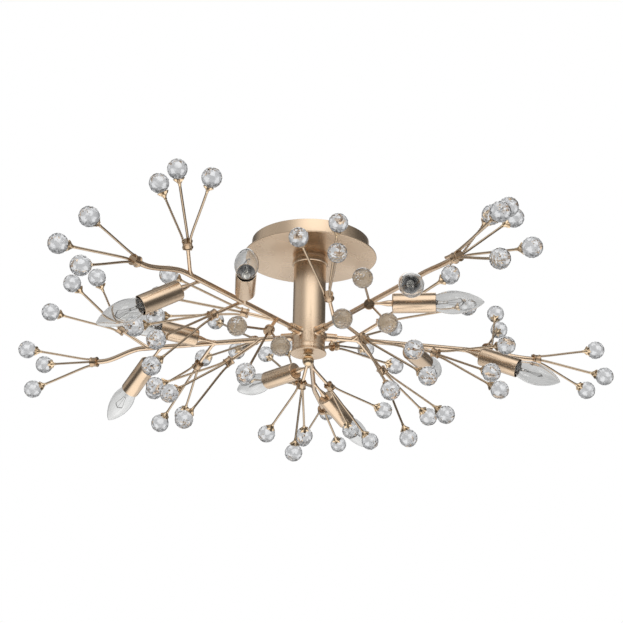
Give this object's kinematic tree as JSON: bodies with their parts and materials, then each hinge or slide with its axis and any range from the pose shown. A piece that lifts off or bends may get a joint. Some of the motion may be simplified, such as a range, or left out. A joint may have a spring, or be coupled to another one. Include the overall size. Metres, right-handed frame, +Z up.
{
  "type": "multi arm chandelier",
  "caption": "Semi-flush chandelier: a short column on a round canopy carries branching arms with candle lamps and sprays of faceted crystal balls.",
  "frame": {"origin": "centre of the flat face against the ceiling, on the column axis", "axes": "+Z up into the ceiling, along the column axis; +Y along the first arm as seen from above"},
  "size_m": [0.9638, 0.917, 0.3084],
  "materials": {
    "frame_gold": "satin champagne gold",
    "finial_gold": "polished champagne gold",
    "fixing_steel": "zinc plated",
    "terminal_ceramic": "glazed white",
    "crystal": "clear faceted crystal, on gold wires",
    "bulb_glass": "clear bulb glass"
  },
  "bodies": {
    "ceiling_unit": {"canopy_cup": "frame_gold", "canopy_plate": "frame_gold", "ceiling_bracket": "fixing_steel", "threaded_rod": "fixing_steel", "rod_lock_nut": "fixing_steel", "terminal_block": "terminal_ceramic", "column_tube": "frame_gold", "column_top_ring": "frame_gold", "column_foot_cap": "frame_gold"},
    "arm_1": {"arm_1": "frame_gold", "spray_1_hub": "crystal", "spray_1_low": "crystal", "spray_1_side": "crystal", "spray_1_high": "crystal", "spray_1_tip": "crystal", "lamp_cup_1_inner": "frame_gold", "lamp_cup_1_outer": "frame_gold"},
    "bulb_1_inner": {"bulb_1_inner": "bulb_glass"},
    "bulb_1_outer": {"bulb_1_outer": "bulb_glass"},
    "arm_2": {"arm_2": "frame_gold", "spray_2_hub": "crystal", "spray_2_low": "crystal", "spray_2_side": "crystal", "spray_2_high": "crystal", "spray_2_tip": "crystal", "lamp_cup_2_inner": "frame_gold", "lamp_cup_2_outer": "frame_gold"},
    "bulb_2_inner": {"bulb_2_inner": "bulb_glass"},
    "bulb_2_outer": {"bulb_2_outer": "bulb_glass"},
    "arm_3": {"arm_3": "frame_gold", "spray_3_hub": "crystal", "spray_3_low": "crystal", "spray_3_side": "crystal", "spray_3_high": "crystal", "spray_3_tip": "crystal", "lamp_cup_3_inner": "frame_gold", "lamp_cup_3_outer": "frame_gold"},
    "bulb_3_inner": {"bulb_3_inner": "bulb_glass"},
    "bulb_3_outer": {"bulb_3_outer": "bulb_glass"},
    "arm_4": {"arm_4": "frame_gold", "spray_4_hub": "crystal", "spray_4_low": "crystal", "spray_4_side": "crystal", "spray_4_high": "crystal", "spray_4_tip": "crystal", "lamp_cup_4_inner": "frame_gold", "lamp_cup_4_outer": "frame_gold"},
    "bulb_4_inner": {"bulb_4_inner": "bulb_glass"},
    "bulb_4_outer": {"bulb_4_outer": "bulb_glass"},
    "arm_5": {"arm_5": "frame_gold", "spray_5_hub": "crystal", "spray_5_low": "crystal", "spray_5_side": "crystal", "spray_5_high": "crystal", "spray_5_tip": "crystal", "lamp_cup_5_inner": "frame_gold", "lamp_cup_5_outer": "frame_gold"},
    "bulb_5_inner": {"bulb_5_inner": "bulb_glass"},
    "bulb_5_outer": {"bulb_5_outer": "bulb_glass"},
    "finial": {"finial_ball": "finial_gold"}
  },
  "joints": [
    {"name": "arm_1_roll", "type": "hinge", "parent": "ceiling_unit", "child": "arm_1", "pos_m": [0, 0.03498, -0.15593], "axis": [0, 0.9995, 0.0305], "range_deg": [-15, 15]},
    {"name": "bulb_1_inner_unscrew", "type": "hinge", "parent": "arm_1", "child": "bulb_1_inner", "pos_m": [-0.07662, 0.21952, -0.15647], "axis": [-0.7639, 0.644, -0.042], "range_deg": [0, 1080]},
    {"name": "bulb_1_outer_unscrew", "type": "hinge", "parent": "arm_1", "child": "bulb_1_outer", "pos_m": [0.05638, 0.32083, -0.19543], "axis": [0.5621, 0.6874, -0.4599], "range_deg": [0, 1080]},
    {"name": "arm_2_roll", "type": "hinge", "parent": "ceiling_unit", "child": "arm_2", "pos_m": [-0.03327, 0.01081, -0.15593], "axis": [-0.9506, 0.3089, 0.0305], "range_deg": [-15, 15]},
    {"name": "bulb_2_inner_unscrew", "type": "hinge", "parent": "arm_2", "child": "bulb_2_inner", "pos_m": [-0.23404, -0.0023, -0.14721], "axis": [-0.8644, -0.5003, 0.0504], "range_deg": [0, 1080]},
    {"name": "bulb_2_outer_unscrew", "type": "hinge", "parent": "arm_2", "child": "bulb_2_outer", "pos_m": [-0.29598, 0.14245, -0.20127], "axis": [-0.5626, 0.6442, -0.5181], "range_deg": [0, 1080]},
    {"name": "arm_3_roll", "type": "hinge", "parent": "ceiling_unit", "child": "arm_3", "pos_m": [-0.02056, -0.0283, -0.15593], "axis": [-0.5875, -0.8086, 0.0305], "range_deg": [-15, 15]},
    {"name": "bulb_3_inner_unscrew", "type": "hinge", "parent": "arm_3", "child": "bulb_3_inner", "pos_m": [-0.08189, -0.22502, -0.14604], "axis": [0.0915, -0.9939, 0.0621], "range_deg": [0, 1080]},
    {"name": "bulb_3_outer_unscrew", "type": "hinge", "parent": "arm_3", "child": "bulb_3_outer", "pos_m": [-0.22804, -0.23546, -0.20086], "axis": [-0.7975, -0.3159, -0.514], "range_deg": [0, 1080]},
    {"name": "arm_4_roll", "type": "hinge", "parent": "ceiling_unit", "child": "arm_4", "pos_m": [0.02056, -0.0283, -0.15593], "axis": [0.5875, -0.8086, 0.0305], "range_deg": [-15, 15]},
    {"name": "bulb_4_inner_unscrew", "type": "hinge", "parent": "arm_4", "child": "bulb_4_inner", "pos_m": [0.19111, -0.1324, -0.15298], "axis": [0.9975, -0.0704, -0.0071], "range_deg": [0, 1080]},
    {"name": "bulb_4_outer_unscrew", "type": "hinge", "parent": "arm_4", "child": "bulb_4_outer", "pos_m": [0.14912, -0.2951, -0.19077], "axis": [0.0106, -0.9105, -0.4134], "range_deg": [0, 1080]},
    {"name": "arm_5_roll", "type": "hinge", "parent": "ceiling_unit", "child": "arm_5", "pos_m": [0.03327, 0.01081, -0.15593], "axis": [0.9506, 0.3089, 0.0305], "range_deg": [-15, 15]},
    {"name": "bulb_5_inner_unscrew", "type": "hinge", "parent": "arm_5", "child": "bulb_5_inner", "pos_m": [0.18469, 0.14094, -0.15001], "axis": [0.3723, 0.9278, 0.0225], "range_deg": [0, 1080]},
    {"name": "bulb_5_outer_unscrew", "type": "hinge", "parent": "arm_5", "child": "bulb_5_outer", "pos_m": [0.32752, 0.05158, -0.18972], "axis": [0.877, -0.2618, -0.403], "range_deg": [0, 1080]},
    {"name": "finial_unscrew", "type": "hinge", "parent": "ceiling_unit", "child": "finial", "pos_m": [0, 0, -0.1877], "axis": [0, 0, -1], "range_deg": [0, 1080]}
  ]
}
